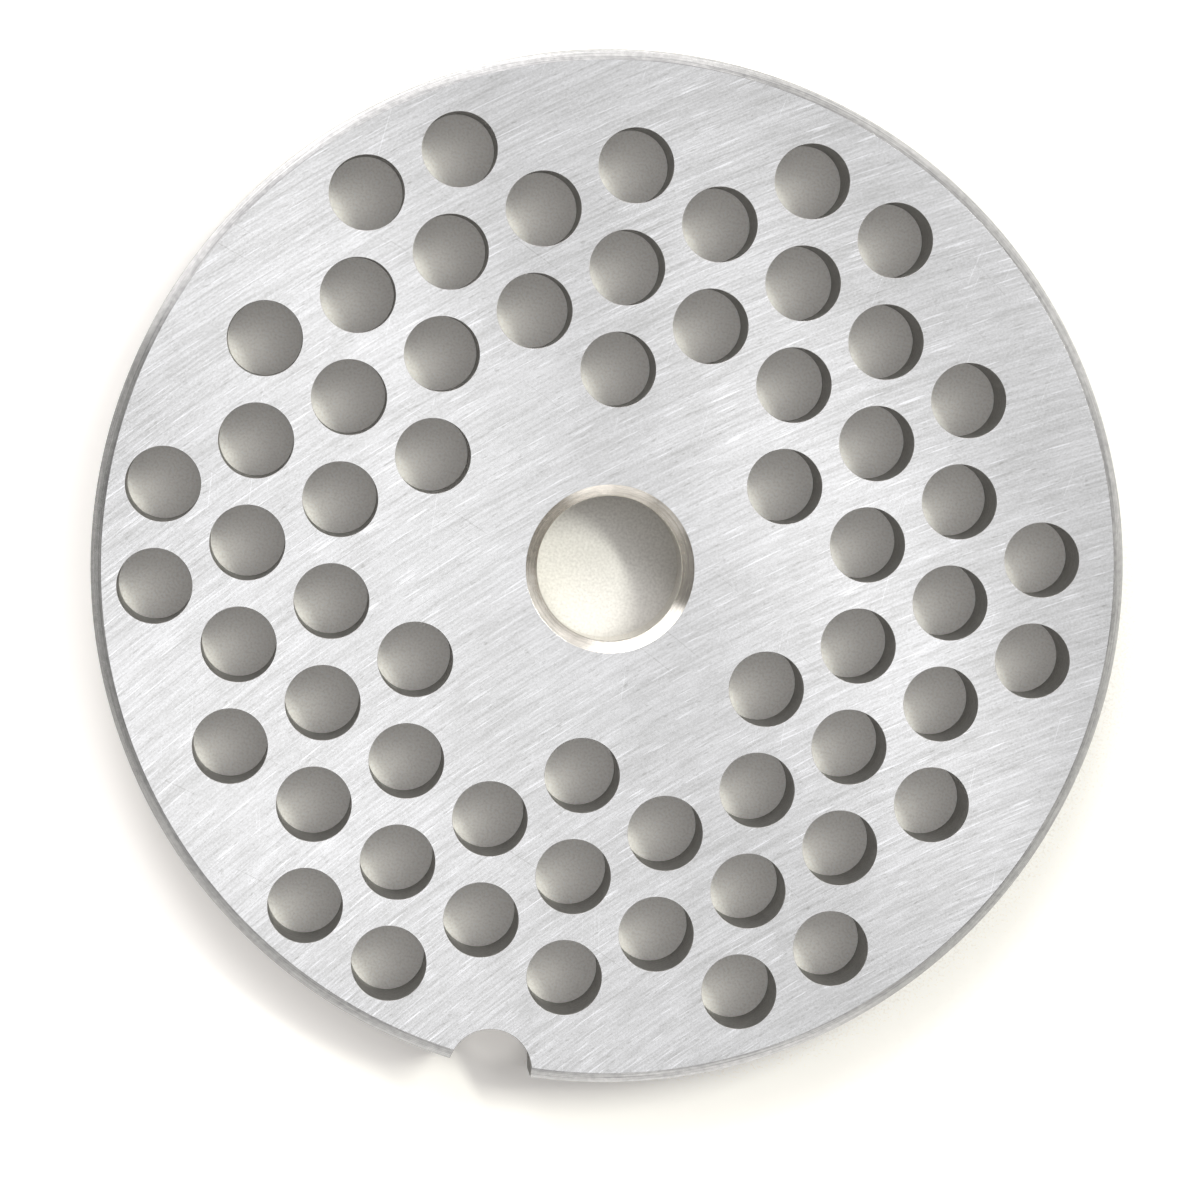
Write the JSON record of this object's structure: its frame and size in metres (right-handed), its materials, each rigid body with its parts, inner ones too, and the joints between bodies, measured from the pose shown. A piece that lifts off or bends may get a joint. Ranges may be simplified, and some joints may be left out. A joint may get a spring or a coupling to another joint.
{
  "type": "meat grinder plate",
  "caption": "Flat round steel grinder plate with through holes on a triangular pattern, a central bore and a half-round locating notch in the rim.",
  "frame": {"origin": "on the bore axis, at the underside", "axes": "+Z normal to the faces, towards the cutting face; -Y from the bore to the locating notch in the rim"},
  "size_m": [0.062, 0.0619, 0.0055],
  "materials": {
    "ground_steel": "surface ground"
  },
  "bodies": {
    "root": {"grinder_plate": "ground_steel"}
  },
  "joints": []
}
